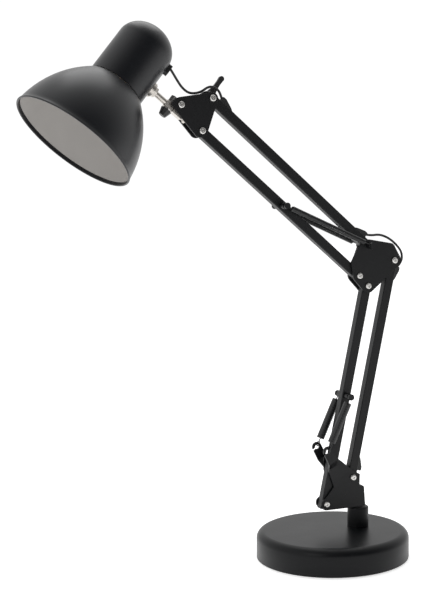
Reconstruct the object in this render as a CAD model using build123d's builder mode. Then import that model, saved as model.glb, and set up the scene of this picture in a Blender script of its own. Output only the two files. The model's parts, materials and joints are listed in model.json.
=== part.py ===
"""Swing arm desk lamp: round weighted base, two parallelogram arms with tension springs, bell shade.

Millimetres. +Z is up, the origin is the middle of the base's underside, and the arms lie in the XZ plane
with the head towards -X. "Near" is the -Y side and "far" the +Y side.
"""

import os
from math import cos, hypot, pi, radians, sin, tan

from build123d import *

os.makedirs("parts", exist_ok=True)

# ---------------------------------------------------------------- driving dimensions
# Base
BASE_R = 100
BASE_H = 36
BASE_EDGE = 10
COVER_WALL = 2
COVER_FOOT = 1
PAD_T = 1.5
PLATE_GAP = 2
WEIGHT_R = 88
WEIGHT_T = 20

# Swivel collar
SWIVEL_X = 37
COLLAR_R = 14
COLLAR_TOP = 63.5
COLLAR_FLOOR = 5
COLLAR_SCREW_R = 3
SPIGOT_R = 6
SPIGOT_FIT = 0.05
BLOCK_FOOT = 64

# Square tubes and side plates
TUBE = 12
TUBE_WALL = 1
TUBE_END = 7
SIDE_GAP = 0.3
SHEET = 2.5
PLATE_IN = TUBE / 2 + SIDE_GAP
PLATE_OUT = PLATE_IN + SHEET

# Links: each arm is a parallelogram
LOWER_LINK = 288.4
LOWER_ANGLE = 78.13
UPPER_LINK = 274.2
UPPER_ANGLE = 139.82
LOWER_OFFSET = (38.1, 32.2)
UPPER_OFFSET = (13.5, 38.3)
ELBOW_STEP = (-12.5, 13.3)
HEAD_SIDE = (-39.2, -8.9)

# Pivot hardware
SCREW_R = 2
PIVOT_FIT = 0.05
HEAD_R = 4
HEAD_T = 2.5
NUT_R = 4
NUT_T = 3.2
LONG_SCREW = 5

# Springs
SPRING_Y = 17
COIL_R = 3.5
COIL_BORE = 2.4
WIRE_R = 0.8
PIN_SHOULDER_R = 4
PIN_NECK_R = 2
PIN_NECK_W = 4
PIN_CAP_T = 2
LOOP_R = 3.2
SPRING_SLACK = 0.05
LOWER_PIN_AT = 143.6
UPPER_PIN_AT = 137.6
HOOK = (-15, 144)
HOOK_R = 6.5
HOOK_HOLE_R = 3
SLEEVE_R = 4.7
SLEEVE_BORE = 3.8
SLEEVE_FOOT = 12
SLEEVE_HEAD = 8

# Stem, clamp and head
HEAD_TILT = 39.25
HEAD_TURN = 6.93
STEM_DROP = 8.4
STEM_R = 3.6
STEM_END = 18
AXIS_REACH = 70.8
STEM_HEIGHT = 111.5
RIM_R = 74.6
WAIST_R = 34
WAIST_H = 84.5
BELL_MID = (63.4, 44)
CAP_DOME_H = 144
CAP_TOP = 172
SKIN = 0.9
LINER = 0.5
CAP_WALL = 1.4

GROMMET_H = 142
GROMMET_L = 15
GROMMET_W = 7
GROMMET_T = 4

# Lampholder (E27)
THREAD_R = 13.4
THREAD_L = 24
HOLDER_MOUTH = 97
HOLDER_R = 20
HOLDER_L = 46
HOLDER_ROOF = 5
HOLDER_BORE = THREAD_R + 1
NIPPLE_R = 5

# Lead, and the guides where it enters a tube: places are distances along the tube from its first pivot
LEAD_R = 1.5
LEAD_FIT = 0.05
SLOT_W = 4
SLOT_L = 12
SLOT_AT = 7
GUIDE_L = 20
GUIDE_W = 7
GUIDE_H = 6.4
MOUTH_OUT = 10.4
PASSAGE_L = 17
FOOT_MOUTH = 9.4
TOP_MOUTH = LOWER_LINK - 7
ELBOW_MOUTH = 9.4
HEAD_MOUTH = UPPER_LINK - 10


# ---------------------------------------------------------------- points of the linkage, as (x, z)
def move(point, step, times=1.0):
    """Point shifted by a step in the XZ plane."""
    return (point[0] + step[0] * times, point[1] + step[1] * times)


def heading(angle):
    """Unit step at an angle measured from +X towards +Z."""
    return (cos(radians(angle)), sin(radians(angle)))


def across(angle):
    """Unit step a quarter turn clockwise from the heading."""
    return heading(angle - 90)


def toward(start, end):
    """Unit step from one point to another, and their distance."""
    run = hypot(end[0] - start[0], end[1] - start[1])
    return ((end[0] - start[0]) / run, (end[1] - start[1]) / run), run


LOWER = heading(LOWER_ANGLE)
UPPER = heading(UPPER_ANGLE)

PIVOT_Q = (-12.7, 72.0)
PIVOT_P = move(PIVOT_Q, LOWER_OFFSET)
PIVOT_C = move(PIVOT_Q, LOWER, LOWER_LINK)
PIVOT_A = move(PIVOT_P, LOWER, LOWER_LINK)
PIVOT_B = move(PIVOT_C, ELBOW_STEP)
PIVOT_D = move(PIVOT_B, UPPER_OFFSET)
HEAD_3 = move(PIVOT_B, UPPER, UPPER_LINK)
HEAD_2 = move(PIVOT_D, UPPER, UPPER_LINK)
HEAD_1 = move(HEAD_2, HEAD_SIDE)
LOWER_PIN = move(PIVOT_Q, LOWER, LOWER_PIN_AT)
UPPER_PIN = move(PIVOT_B, UPPER, UPPER_PIN_AT)


# ---------------------------------------------------------------- planes
def at(point, y=0.0):
    """Space point of an (x, z) pair."""
    return (point[0], y, point[1])


def side(y):
    """Sketch plane parallel to XZ at a given y, whose extrusions go towards -Y."""
    return Plane.XZ.offset(-y)


def along(point, step, y=0.0):
    """Plane across a bar that runs along a step, local x being +Y."""
    return Plane(origin=at(point, y), x_dir=(0, 1, 0), z_dir=(step[0], 0, step[1]))


STEM_DIR = Vector(cos(radians(HEAD_TILT)), 0, -sin(radians(HEAD_TILT)))
STEM_UP = Vector(sin(radians(HEAD_TILT)), 0, cos(radians(HEAD_TILT)))
CLAMP = Plane(origin=at(HEAD_1), x_dir=STEM_DIR, z_dir=(0, -1, 0))
HEAD_UP = STEM_UP * cos(radians(HEAD_TURN)) + Vector(0, 1, 0) * sin(radians(HEAD_TURN))
STEM_POINT = Vector(*at(HEAD_1)) - STEM_UP * STEM_DROP
RIM_CENTRE = STEM_POINT - STEM_DIR * AXIS_REACH - HEAD_UP * STEM_HEIGHT
HEAD = Plane(origin=RIM_CENTRE, x_dir=STEM_DIR, z_dir=HEAD_UP)
PROFILE = Plane(origin=RIM_CENTRE, x_dir=STEM_DIR, z_dir=STEM_DIR.cross(HEAD_UP))
HEAD_AXIS = Axis(RIM_CENTRE, HEAD_UP)


def stem_plane(reach):
    """Plane across the stem, a distance along it from the tilt pivot."""
    return Plane(origin=STEM_POINT + STEM_DIR * reach, x_dir=(0, 1, 0), z_dir=STEM_DIR)


def save(builder, name):
    """Label a finished piece and write it."""
    builder.part.label = name
    export_step(builder.part, f"parts/{name}.step")


def save_mirrored(builder, name):
    """Write the mirror image of a piece on the other side of the lamp's middle plane."""
    with BuildPart() as image:
        mirror(builder.part, about=Plane.XZ)
    save(image, name)


# ---------------------------------------------------------------- base
with BuildPart() as base_cover:
    with BuildSketch(Plane.XY.offset(COVER_FOOT)):
        Circle(BASE_R)
    extrude(amount=BASE_H - COVER_FOOT)
    fillet(base_cover.edges().group_by(Axis.Z)[-1], BASE_EDGE)
    offset(amount=-COVER_WALL, openings=base_cover.faces().sort_by(Axis.Z)[0])
    with Locations((SWIVEL_X, 0, BASE_H)):
        Hole(radius=COLLAR_SCREW_R + 0.3, depth=2 * COVER_WALL)
save(base_cover, "base_cover")

with BuildPart() as base_weight:
    with BuildSketch(Plane.XY.offset(BASE_H - COVER_WALL - WEIGHT_T)):
        Circle(WEIGHT_R)
        with Locations((SWIVEL_X, 0)):
            Circle(9, mode=Mode.SUBTRACT)
    extrude(amount=WEIGHT_T)
    chamfer(base_weight.edges().filter_by(GeomType.CIRCLE).group_by(SortBy.RADIUS)[-1], 2)
save(base_weight, "base_weight")

with BuildPart() as base_bottom_plate:
    with BuildSketch(Plane.XY.offset(PAD_T)):
        Circle(BASE_R - COVER_WALL)
    extrude(amount=PLATE_GAP)
    with BuildSketch(Plane.XY.offset(PAD_T + PLATE_GAP)):
        with PolarLocations(60, 3, start_angle=60):
            Circle(6)
    extrude(amount=BASE_H - COVER_WALL - WEIGHT_T - PAD_T - PLATE_GAP)
save(base_bottom_plate, "base_bottom_plate")

with BuildPart() as base_pad:
    with BuildSketch():
        Circle(BASE_R - 5)
    extrude(amount=PAD_T)
save(base_pad, "base_pad")

with BuildPart() as collar:
    with BuildSketch(Plane.XY.offset(BASE_H)):
        with Locations((SWIVEL_X, 0)):
            Circle(COLLAR_R)
    extrude(amount=COLLAR_TOP - BASE_H)
    fillet(collar.edges().group_by(Axis.Z)[-1], 2.5)
    with BuildSketch(Plane.XY.offset(BASE_H + COLLAR_FLOOR)):
        with Locations((SWIVEL_X, 0)):
            Circle(SPIGOT_R + SPIGOT_FIT)
    extrude(amount=COLLAR_TOP, mode=Mode.SUBTRACT)
    with BuildSketch(Plane.XY.offset(BASE_H)):
        with Locations((SWIVEL_X, 0)):
            Circle(COLLAR_SCREW_R)
    extrude(amount=COLLAR_FLOOR, mode=Mode.SUBTRACT)
save(collar, "collar")

with BuildPart() as collar_screw:
    with BuildSketch(Plane.XY.offset(BASE_H - COVER_WALL - 4)):
        with Locations((SWIVEL_X, 0)):
            RegularPolygon(radius=5.8, side_count=6)
    extrude(amount=4)
    with BuildSketch(Plane.XY.offset(BASE_H - COVER_WALL)):
        with Locations((SWIVEL_X, 0)):
            Circle(COLLAR_SCREW_R)
    extrude(amount=COVER_WALL + COLLAR_FLOOR - 0.5)
save(collar_screw, "collar_screw")

# ---------------------------------------------------------------- base bracket
BLOCK_TOP = 92
BLOCK_X = (4, 45)
RIVETS = ((14, 80), (30, 76))
RIVET_R = 2.5

with BuildPart() as spigot:
    with BuildSketch(Plane.XY.offset(BASE_H + COLLAR_FLOOR + 0.5)):
        with Locations((SWIVEL_X, 0)):
            Circle(SPIGOT_R)
    extrude(amount=BLOCK_FOOT - BASE_H - COLLAR_FLOOR - 0.5)
    chamfer(spigot.edges().group_by(Axis.Z)[0], 1)
save(spigot, "spigot")

with BuildPart() as bracket_block:
    with BuildSketch(side(TUBE / 2)):
        with BuildLine():
            Polyline(
                (BLOCK_X[0], BLOCK_FOOT),
                (BLOCK_X[1], BLOCK_FOOT),
                (BLOCK_X[1] - 2, BLOCK_TOP - 2),
                (BLOCK_X[1] - 5, BLOCK_TOP),
                (BLOCK_X[0] + 8, BLOCK_TOP),
                (BLOCK_X[0], BLOCK_TOP - 8),
                close=True,
            )
        make_face()
        with Locations(*RIVETS):
            Circle(RIVET_R, mode=Mode.SUBTRACT)
    extrude(amount=TUBE)
    with BuildSketch(side(PLATE_IN)):
        with Locations(((BLOCK_X[0] + BLOCK_X[1]) / 2, (BLOCK_FOOT + BLOCK_TOP) / 2)):
            Rectangle(20, 14)
        with Locations(*RIVETS):
            Circle(RIVET_R, mode=Mode.SUBTRACT)
    extrude(amount=2 * PLATE_IN)
save(bracket_block, "bracket_block")

ARM_ROOT = (-1, 116)
ARM_STEP, ARM_RUN = toward(ARM_ROOT, HOOK)
ARM_END = ARM_RUN + HOOK_R
HOOK_IN = SPRING_Y - SHEET / 2
HOOK_OUT = SPRING_Y + SHEET / 2

with BuildPart() as hook_arm:
    with BuildSketch(Plane(origin=at(ARM_ROOT), x_dir=(ARM_STEP[0], 0, ARM_STEP[1]),
                           z_dir=(-ARM_STEP[1], 0, ARM_STEP[0]))):
        with BuildLine():
            Polyline(
                (-HOOK_R, PLATE_IN),
                (6, PLATE_IN),
                (15, HOOK_IN),
                (ARM_END, HOOK_IN),
                (ARM_END, HOOK_OUT),
                (14, HOOK_OUT),
                (5, PLATE_OUT),
                (-HOOK_R, PLATE_OUT),
                close=True,
            )
        make_face()
    extrude(amount=HOOK_R, both=True)
    with BuildSketch(side(HOOK_OUT + 1)):
        with Locations(ARM_ROOT, HOOK):
            Circle(HOOK_R)
        make_hull()
    extrude(amount=HOOK_OUT + 1, mode=Mode.INTERSECT)
    with BuildSketch(side(HOOK_OUT + 1)):
        with Locations(HOOK):
            Circle(HOOK_HOLE_R)
        with Locations(Location((HOOK[0] - 5, HOOK[1] - 4), 40)):
            Rectangle(12, 2.4)
    extrude(amount=HOOK_OUT + 1, mode=Mode.SUBTRACT)

with BuildPart() as bracket_plate_far:
    with BuildSketch(side(PLATE_OUT)):
        with BuildLine():
            Polyline(
                (-12.7, 64.2),
                (39.3, 64.2),
                (39.3, 72.5),
                (34.8, 92),
                (35.4, 108),
                (24, 114.5),
                (14.7, 122.5),
                (3.4, 131.6),
                (-9.5, 131),
                (-9.5, 114.9),
                (-2.3, 94.3),
                (-12.4, 82),
                (-20, 75),
                close=True,
            )
        make_face()
        with Locations(PIVOT_Q):
            Circle(7.8)
        with Locations(PIVOT_P, PIVOT_Q):
            Circle(SCREW_R, mode=Mode.SUBTRACT)
        with Locations(*RIVETS):
            Circle(RIVET_R, mode=Mode.SUBTRACT)
    extrude(amount=SHEET)
    add(hook_arm.part)
save(bracket_plate_far, "bracket_plate_far")
save_mirrored(bracket_plate_far, "bracket_plate_near")

with BuildPart() as bracket_rivets:
    with BuildSketch(side(PLATE_OUT)):
        with Locations(*RIVETS):
            Circle(RIVET_R)
    extrude(amount=2 * PLATE_OUT)
save(bracket_rivets, "bracket_rivets")


def pan_screws(points, name, long_point=None):
    """Pan head screws with a recessed cross, heads on the near side, one of them longer if asked."""
    reach = PLATE_OUT + NUT_T + 1.5
    with BuildPart() as screws:
        with BuildSketch(side(reach)):
            with Locations(*points):
                Circle(SCREW_R)
        extrude(amount=reach + PLATE_OUT)
        if long_point:
            with BuildSketch(side(reach + LONG_SCREW)):
                with Locations(long_point):
                    Circle(SCREW_R)
            extrude(amount=LONG_SCREW)
        with BuildSketch(side(-PLATE_OUT)):
            with Locations(*points):
                Circle(HEAD_R)
        extrude(amount=HEAD_T)
        fillet(screws.edges().filter_by(GeomType.CIRCLE).group_by(Axis.Y)[0], 1.4)
        with BuildSketch(side(-PLATE_OUT - HEAD_T)):
            with Locations(*points):
                Rectangle(4.2, 0.9, rotation=20)
                Rectangle(0.9, 4.2, rotation=20)
        extrude(amount=-1.3, mode=Mode.SUBTRACT)
    save(screws, name)


def nuts(points, name):
    """Hexagon nuts on the far ends of the screws."""
    with BuildPart() as group:
        with BuildSketch(side(PLATE_OUT + NUT_T)):
            with Locations(*points):
                RegularPolygon(radius=NUT_R, side_count=6)
                Circle(SCREW_R, mode=Mode.SUBTRACT)
        extrude(amount=NUT_T)
    save(group, name)


pan_screws((PIVOT_P, PIVOT_Q), "bracket_screws")
nuts((PIVOT_P, PIVOT_Q), "bracket_nuts")


# ---------------------------------------------------------------- square tubes
def square_tube(start, angle, length, name, pin_at=None, slots=()):
    """Square tube past both of its pivots, bored for them, with lead slots in its right hand face."""
    step = heading(angle)
    out = across(angle)
    bores = [start, move(start, step, length)]
    with BuildPart() as tube:
        with BuildSketch(along(move(start, step, -TUBE_END), step)):
            RectangleRounded(TUBE, TUBE, 1.2)
            RectangleRounded(TUBE - 2 * TUBE_WALL, TUBE - 2 * TUBE_WALL, 0.6, mode=Mode.SUBTRACT)
        extrude(amount=length + 2 * TUBE_END)
        with BuildSketch(side(TUBE)):
            with Locations(*bores):
                Circle(SCREW_R + PIVOT_FIT)
        extrude(amount=2 * TUBE, mode=Mode.SUBTRACT)
        if pin_at:
            with BuildSketch(side(TUBE)):
                with Locations(move(start, step, pin_at)):
                    Circle(PIN_NECK_R)
            extrude(amount=2 * TUBE, mode=Mode.SUBTRACT)
        for slot in slots:
            middle = move(move(start, step, slot), out, TUBE / 2)
            with BuildSketch(side(SLOT_W / 2)):
                with Locations(Location(middle, angle)):
                    Rectangle(SLOT_L, 4)
            extrude(amount=SLOT_W, mode=Mode.SUBTRACT)
    save(tube, name)


def end_plugs(start, angle, length, name):
    """Flat plastic plugs in a tube's ends, clear of the pivot screws."""
    step = heading(angle)
    bore = TUBE - 2 * TUBE_WALL
    ends = [(move(start, step, -TUBE_END), 1), (move(start, step, length + TUBE_END), -1)]
    with BuildPart() as plugs:
        for end, inward in ends:
            with BuildSketch(along(end, step)):
                RectangleRounded(bore, bore, 0.6)
            extrude(amount=inward * 3.5)
    save(plugs, name)


square_tube(PIVOT_Q, LOWER_ANGLE, LOWER_LINK, "lower_front_tube", pin_at=LOWER_PIN_AT)
end_plugs(PIVOT_Q, LOWER_ANGLE, LOWER_LINK, "lower_front_plugs")
square_tube(PIVOT_P, LOWER_ANGLE, LOWER_LINK, "lower_rear_tube",
            slots=(FOOT_MOUTH + SLOT_AT, TOP_MOUTH - SLOT_AT))
square_tube(PIVOT_B, UPPER_ANGLE, UPPER_LINK, "upper_lower_tube", pin_at=UPPER_PIN_AT)
end_plugs(PIVOT_B, UPPER_ANGLE, UPPER_LINK, "upper_lower_plugs")
square_tube(PIVOT_D, UPPER_ANGLE, UPPER_LINK, "upper_upper_tube",
            slots=(ELBOW_MOUTH + SLOT_AT, HEAD_MOUTH - SLOT_AT))


# ---------------------------------------------------------------- springs
def spring_pin(point, name, inner):
    """Cross pin with a shoulder, a neck for the spring loop and a cap on each side."""
    reach = SPRING_Y + PIN_NECK_W / 2 + PIN_CAP_T
    with BuildPart() as pin:
        with BuildSketch(side(reach)):
            with Locations(point):
                Circle(PIN_NECK_R)
        extrude(amount=2 * reach)
        with BuildSketch(side(SPRING_Y - PIN_NECK_W / 2)):
            with Locations(point):
                Circle(PIN_SHOULDER_R)
        extrude(amount=SPRING_Y - PIN_NECK_W / 2 - inner)
        with BuildSketch(side(-inner)):
            with Locations(point):
                Circle(PIN_SHOULDER_R)
        extrude(amount=SPRING_Y - PIN_NECK_W / 2 - inner)
        with BuildSketch(side(reach), side(-reach + PIN_CAP_T)):
            with Locations(point):
                Circle(PIN_SHOULDER_R)
        extrude(amount=PIN_CAP_T)
    save(pin, name)


def wire_ring(centre, plane_normal):
    """Closed wire loop of a spring's end."""
    return Solid.make_torus(LOOP_R, WIRE_R, Plane(origin=centre, z_dir=plane_normal))


def spring(start, end, end_lift, coil_gaps, name, hooked):
    """Pair of tension springs from a pin to its anchor: coil, straight ends and loops."""
    step, run = toward(start, end)
    first = move(start, step, LOOP_R - WIRE_R - PIN_NECK_R - SPRING_SLACK)
    last = move(end, step, -end_lift)
    with BuildPart() as body:
        with BuildSketch(along(move(start, step, coil_gaps[0]), step, SPRING_Y)):
            Circle(COIL_R)
            Circle(COIL_BORE, mode=Mode.SUBTRACT)
        extrude(amount=run - coil_gaps[0] - coil_gaps[1])
        for plug in (coil_gaps[0], run - coil_gaps[1] - 1.5):
            with BuildSketch(along(move(start, step, plug), step, SPRING_Y)):
                Circle(COIL_R)
            extrude(amount=1.5)
        with BuildSketch(along(move(first, step, LOOP_R), step, SPRING_Y)):
            Circle(WIRE_R)
        extrude(amount=coil_gaps[0] - LOOP_R)
        with BuildSketch(along(move(start, step, run - coil_gaps[1] - 0.5), step, SPRING_Y)):
            Circle(WIRE_R)
        extrude(amount=coil_gaps[1] + 0.5 - end_lift - LOOP_R)
        add(wire_ring(at(first, SPRING_Y), (0, 1, 0)))
        add(wire_ring(at(last, SPRING_Y), (-step[1], 0, step[0]) if hooked else (0, 1, 0)))
        mirror(about=Plane.XZ)
    save(body, name)


spring_pin(LOWER_PIN, "lower_spring_pin", TUBE / 2)
spring_pin(UPPER_PIN, "upper_spring_pin", TUBE / 2)
spring_pin(PIVOT_D, "elbow_spring_pin", PLATE_OUT)
spring(LOWER_PIN, HOOK, 4.75, (7.5, 13), "lower_springs", hooked=True)
spring(UPPER_PIN, PIVOT_D, LOOP_R - WIRE_R - PIN_NECK_R - SPRING_SLACK, (7.5, 11), "upper_springs",
       hooked=False)

SLEEVE_STEP, SLEEVE_RUN = toward(LOWER_PIN, HOOK)
with BuildPart() as lower_sleeves:
    with BuildSketch(along(move(LOWER_PIN, SLEEVE_STEP, SLEEVE_HEAD), SLEEVE_STEP, SPRING_Y)):
        Circle(SLEEVE_R)
        Circle(SLEEVE_BORE, mode=Mode.SUBTRACT)
    extrude(amount=SLEEVE_RUN - SLEEVE_HEAD - SLEEVE_FOOT)
    mirror(about=Plane.XZ)
save(lower_sleeves, "lower_sleeves")


# ---------------------------------------------------------------- elbow and head plates
def link_plate(lobes, bores):
    """Flat plate whose outline wraps round discs, bored for the pivots."""
    with BuildPart() as plate:
        with BuildSketch(side(PLATE_OUT)):
            for centre, radius in lobes:
                with Locations(centre):
                    Circle(radius)
            make_hull()
            with Locations(*bores):
                Circle(SCREW_R, mode=Mode.SUBTRACT)
        extrude(amount=SHEET)
    return plate


ELBOW_BORES = (PIVOT_A, PIVOT_B, PIVOT_C, PIVOT_D)
ELBOW_LOBES = (
    (PIVOT_A, 9.5),
    (PIVOT_B, 9),
    (PIVOT_C, 9),
    (PIVOT_D, 8),
    (move(PIVOT_D, (31, -4)), 7),
)
ELBOW_SHOULDER = (
    (move(PIVOT_D, (-13, -5)), 4),
    (move(PIVOT_D, (-21.5, -22)), 4),
)
save(link_plate(ELBOW_LOBES, ELBOW_BORES), "elbow_plate_far")
save_mirrored(link_plate(ELBOW_LOBES + ELBOW_SHOULDER, ELBOW_BORES), "elbow_plate_near")
pan_screws((PIVOT_A, PIVOT_B, PIVOT_C), "elbow_screws")
nuts((PIVOT_A, PIVOT_B, PIVOT_C), "elbow_nuts")

HEAD_LOBES = (
    (HEAD_1, 9),
    (move(HEAD_1, (-8.5, 0)), 3),
    (HEAD_2, 7),
    (HEAD_3, 7),
    (move(HEAD_3, (-3, -0.5)), 7.5),
)
head_plate = link_plate(HEAD_LOBES, (HEAD_1, HEAD_2, HEAD_3))
save(head_plate, "head_plate_far")
save_mirrored(head_plate, "head_plate_near")
pan_screws((HEAD_1, HEAD_2, HEAD_3), "head_screws", long_point=HEAD_2)
nuts((HEAD_1, HEAD_3), "head_nuts")

WING_Y = PLATE_OUT + 0.3
WING_ANGLE = 53
WING_REACH = 35
WING_BOSS_R = 10
WING_ROOT = 9.5
with BuildPart() as friction_wing:
    with BuildSketch(side(WING_Y + 8)):
        with Locations(HEAD_2):
            Circle(WING_BOSS_R)
    extrude(amount=8)
    fillet(friction_wing.edges().group_by(Axis.Y)[-1], 1.5)
    with BuildSketch(side(WING_Y + 7)):
        for turn in (0, 180):
            waist = move(HEAD_2, heading(WING_ANGLE + turn), 20)
            tip = move(HEAD_2, heading(WING_ANGLE + turn), WING_REACH - 3.4)
            wide = across(WING_ANGLE + turn)
            with BuildLine():
                Spline(move(HEAD_2, wide, -WING_ROOT), move(waist, wide, -3), move(tip, wide, -3.2))
                ThreePointArc(move(tip, wide, -3.2), move(HEAD_2, heading(WING_ANGLE + turn), WING_REACH),
                              move(tip, wide, 3.2))
                Spline(move(tip, wide, 3.2), move(waist, wide, 3), move(HEAD_2, wide, WING_ROOT))
                Line(move(HEAD_2, wide, WING_ROOT), move(HEAD_2, wide, -WING_ROOT))
            make_face()
    extrude(amount=4.5)
    with BuildSketch(side(WING_Y + 10)):
        with Locations(HEAD_2):
            Circle(SCREW_R + PIVOT_FIT)
    extrude(amount=12, mode=Mode.SUBTRACT)
save(friction_wing, "friction_wing")

# ---------------------------------------------------------------- tilting clamp, in stem coordinates
BOLT_AT = -8.5
CLAMP_HALF = 5.8
SLEEVE_HALF = 4.4
WEB_START = -3
WEB_TOP = 6
CLAMP_TOP = -4.1
CLAMP_FOOT = -12.7
BOLT_R = 2.5
KNOB_H = 10.5


def bolt_plane(rise):
    """Plane across the clamp's bolt at a height in stem coordinates."""
    return Plane(origin=CLAMP.from_local_coords(Vector(BOLT_AT, rise)), z_dir=STEM_UP)


with BuildPart() as clamp_block:
    with BuildSketch(CLAMP.offset(-CLAMP_HALF)):
        with BuildLine():
            Polyline(
                (WEB_START, CLAMP_FOOT),
                (11, CLAMP_FOOT),
                (12, CLAMP_FOOT + 3),
                (8, WEB_TOP - 2),
                (4, WEB_TOP),
                (WEB_START, WEB_TOP),
                close=True,
            )
        make_face()
        Circle(SCREW_R + PIVOT_FIT, mode=Mode.SUBTRACT)
    extrude(amount=2 * CLAMP_HALF)
    with BuildSketch(CLAMP.offset(-SLEEVE_HALF)):
        with BuildLine():
            Polyline(
                (BOLT_AT - 6, CLAMP_FOOT),
                (WEB_START + 1, CLAMP_FOOT),
                (WEB_START + 1, CLAMP_TOP),
                (BOLT_AT - 6, CLAMP_TOP),
                close=True,
            )
        make_face()
    extrude(amount=2 * SLEEVE_HALF)
    with BuildSketch(stem_plane(-30)):
        Circle(STEM_R + 0.05)
    extrude(amount=60, mode=Mode.SUBTRACT)
    with BuildSketch(bolt_plane(CLAMP_FOOT)):
        Circle(BOLT_R)
    extrude(amount=CLAMP_TOP - CLAMP_FOOT, mode=Mode.SUBTRACT)
save(clamp_block, "clamp_block")

with BuildPart() as clamp_fasteners:
    with BuildSketch(bolt_plane(CLAMP_TOP)):
        RegularPolygon(radius=5.2, side_count=6)
    extrude(amount=8)
    with BuildSketch(bolt_plane(CLAMP_FOOT)):
        Circle(5.6)
        Circle(BOLT_R + PIVOT_FIT, mode=Mode.SUBTRACT)
    extrude(amount=-1.2)
save(clamp_fasteners, "clamp_fasteners")

with BuildPart() as clamp_knob:
    with BuildSketch(bolt_plane(CLAMP_FOOT - 1.5)):
        RegularPolygon(radius=7.2, side_count=8)
    with BuildSketch(bolt_plane(CLAMP_FOOT - KNOB_H)):
        RegularPolygon(radius=4.6, side_count=8)
    loft()
    with BuildSketch(bolt_plane(CLAMP_FOOT - 2)):
        Circle(BOLT_R - PIVOT_FIT)
    extrude(amount=2.4)
save(clamp_knob, "clamp_knob")

# ---------------------------------------------------------------- stem
WALL_REACH = WAIST_R - AXIS_REACH
with BuildPart() as stem:
    with BuildSketch(stem_plane(WALL_REACH - 8)):
        Circle(STEM_R)
    extrude(amount=STEM_END - WALL_REACH + 8)
    chamfer(stem.edges().filter_by(GeomType.CIRCLE), 0.5)
save(stem, "stem")


def stem_ring(reach, thickness, outer, name):
    """Round washer or ring on the stem."""
    with BuildPart() as ring:
        with BuildSketch(stem_plane(reach)):
            Circle(outer)
            Circle(STEM_R, mode=Mode.SUBTRACT)
        extrude(amount=thickness)
    save(ring, name)


SAGITTA = WAIST_R - (WAIST_R**2 - 9.5**2) ** 0.5
with BuildPart() as stem_seat:
    with BuildSketch(stem_plane(WALL_REACH - SAGITTA)):
        Circle(9.5)
    extrude(amount=SAGITTA + 2)
    with BuildSketch(HEAD.offset(STEM_HEIGHT - 20)):
        Circle(WAIST_R)
    extrude(amount=40, mode=Mode.SUBTRACT)
    with BuildSketch(stem_plane(WALL_REACH - 10)):
        Circle(STEM_R)
    extrude(amount=20, mode=Mode.SUBTRACT)
save(stem_seat, "stem_seat")
stem_ring(WALL_REACH + 2, 1.2, 8.5, "stem_washer")
with BuildPart() as stem_nuts:
    with BuildSketch(stem_plane(WALL_REACH + 3.2), stem_plane(WALL_REACH - 7)):
        RegularPolygon(radius=6.6, side_count=6)
        Circle(STEM_R, mode=Mode.SUBTRACT)
    extrude(amount=4)
save(stem_nuts, "stem_nuts")
stem_ring(STEM_END - 4, 3, 4.8, "stem_end_ring")

# ---------------------------------------------------------------- shade
BELL_ARC = ThreePointArc((RIM_R, 0), BELL_MID, (WAIST_R, WAIST_H))
BELL_CENTRE = BELL_ARC.arc_center


def bell_points(depth):
    """Start, middle and end of the bell's arc, moved towards its inside."""
    ends = ((RIM_R, 0), BELL_MID, (WAIST_R, WAIST_H))
    points = []
    for x, y in ends:
        out = (Vector(x, y) - BELL_CENTRE).normalized()
        points.append((x - out.X * depth, y - out.Y * depth))
    return points


def bell_layer(outer, inner, foot, name, bead=False):
    """Layer of the bell between two depths, from a height above the rim to the waist."""
    out = bell_points(outer)
    back = bell_points(inner)
    with BuildPart() as layer:
        with BuildSketch(PROFILE):
            with BuildLine():
                ThreePointArc(*out)
                Line(out[2], back[2])
                ThreePointArc(*reversed(back))
                Line(back[0], out[0])
            make_face()
            with Locations((0, foot - 20)):
                Rectangle(400, 40, mode=Mode.SUBTRACT)
            if bead:
                with Locations((RIM_R - 0.2, 1.1)):
                    Circle(1.1)
        revolve(axis=HEAD_AXIS)
    save(layer, name)


bell_layer(0, SKIN, 0, "bell_shade", bead=True)
bell_layer(SKIN, SKIN + LINER, 2.4, "bell_liner")

CAP_IN = WAIST_R - CAP_WALL
GROMMET_OUT = STEM_DIR.rotate(Axis((0, 0, 0), HEAD_UP), -HEAD_TURN)
GROMMET = Plane(origin=RIM_CENTRE + HEAD_UP * GROMMET_H + GROMMET_OUT * WAIST_R,
                x_dir=HEAD_UP.cross(GROMMET_OUT), z_dir=GROMMET_OUT)
with BuildPart() as head_cap:
    with BuildSketch(PROFILE):
        with BuildLine():
            Line((WAIST_R, WAIST_H), (WAIST_R, CAP_DOME_H))
            EllipticalCenterArc((0, CAP_DOME_H), WAIST_R, CAP_TOP - CAP_DOME_H, start_angle=0, arc_size=90)
            Line((0, CAP_TOP), (0, CAP_TOP - CAP_WALL))
            EllipticalCenterArc((0, CAP_DOME_H), CAP_IN, CAP_TOP - CAP_WALL - CAP_DOME_H,
                                start_angle=0, arc_size=90)
            Line((CAP_IN, CAP_DOME_H), (CAP_IN, WAIST_H))
            Line((CAP_IN, WAIST_H), (WAIST_R, WAIST_H))
        make_face()
    revolve(axis=HEAD_AXIS)
    with BuildSketch(stem_plane(WALL_REACH - 8)):
        Circle(STEM_R)
    extrude(amount=16, mode=Mode.SUBTRACT)
    with BuildSketch(GROMMET.offset(-10)):
        SlotOverall(GROMMET_L, GROMMET_W, rotation=90)
    extrude(amount=20, mode=Mode.SUBTRACT)
save(head_cap, "head_cap")

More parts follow.
